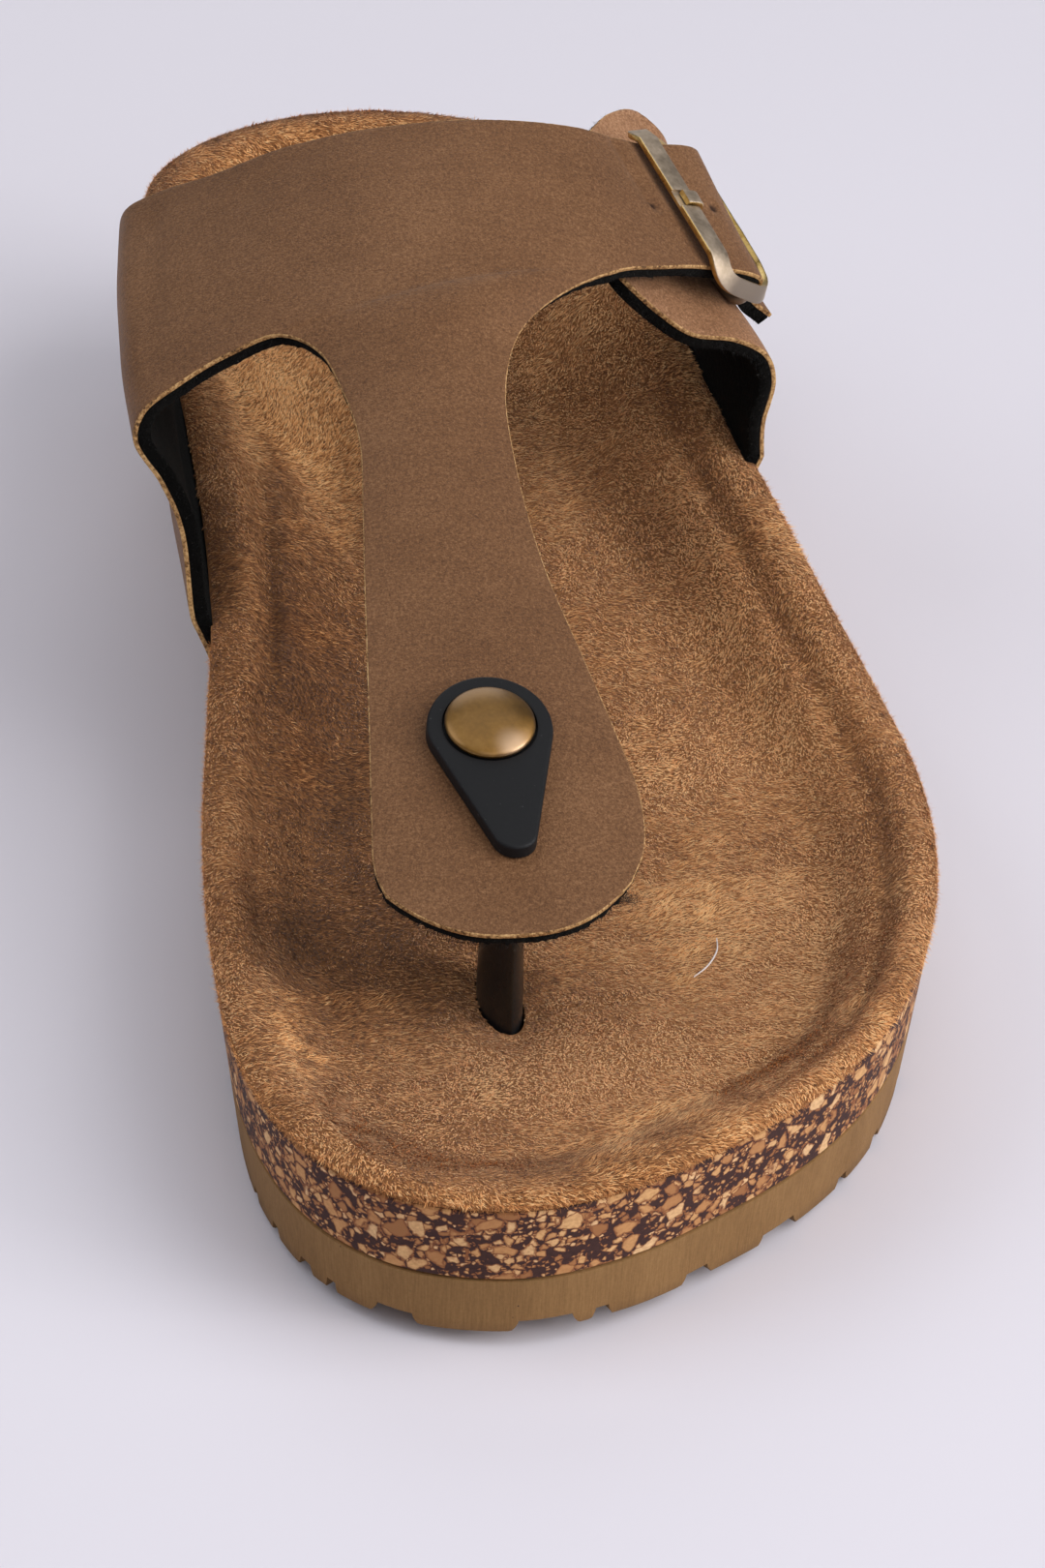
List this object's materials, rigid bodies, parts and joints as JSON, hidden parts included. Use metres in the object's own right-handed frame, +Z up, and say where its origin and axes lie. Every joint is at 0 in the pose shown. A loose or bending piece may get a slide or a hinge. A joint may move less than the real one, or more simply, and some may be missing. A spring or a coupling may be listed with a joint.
{
  "type": "toe post sandal",
  "caption": "Left toe post sandal: contoured cork footbed with suede-like lining on a foam sole, T-shaped leather strap with a toe post, and a buckled outer strap.",
  "frame": {"origin": "on the ground, under the middle of the shoe's bounding box", "axes": "+Z up, -Y to the toe, +Y to the heel, +X to the outer (little toe) side"},
  "size_m": [0.0966, 0.2488, 0.0775],
  "materials": {
    "foam": "matte",
    "cork": "matte",
    "lining": "matte",
    "leather": "satin",
    "brass": "satin",
    "post_rubber": "matte"
  },
  "bodies": {
    "root": {"outsole": "foam", "midsole": "cork", "insole": "lining", "upper": "leather", "buckle_frame": "brass", "buckle_pin": "brass", "toe_post": "post_rubber", "rivet_cap": "brass"}
  },
  "joints": []
}
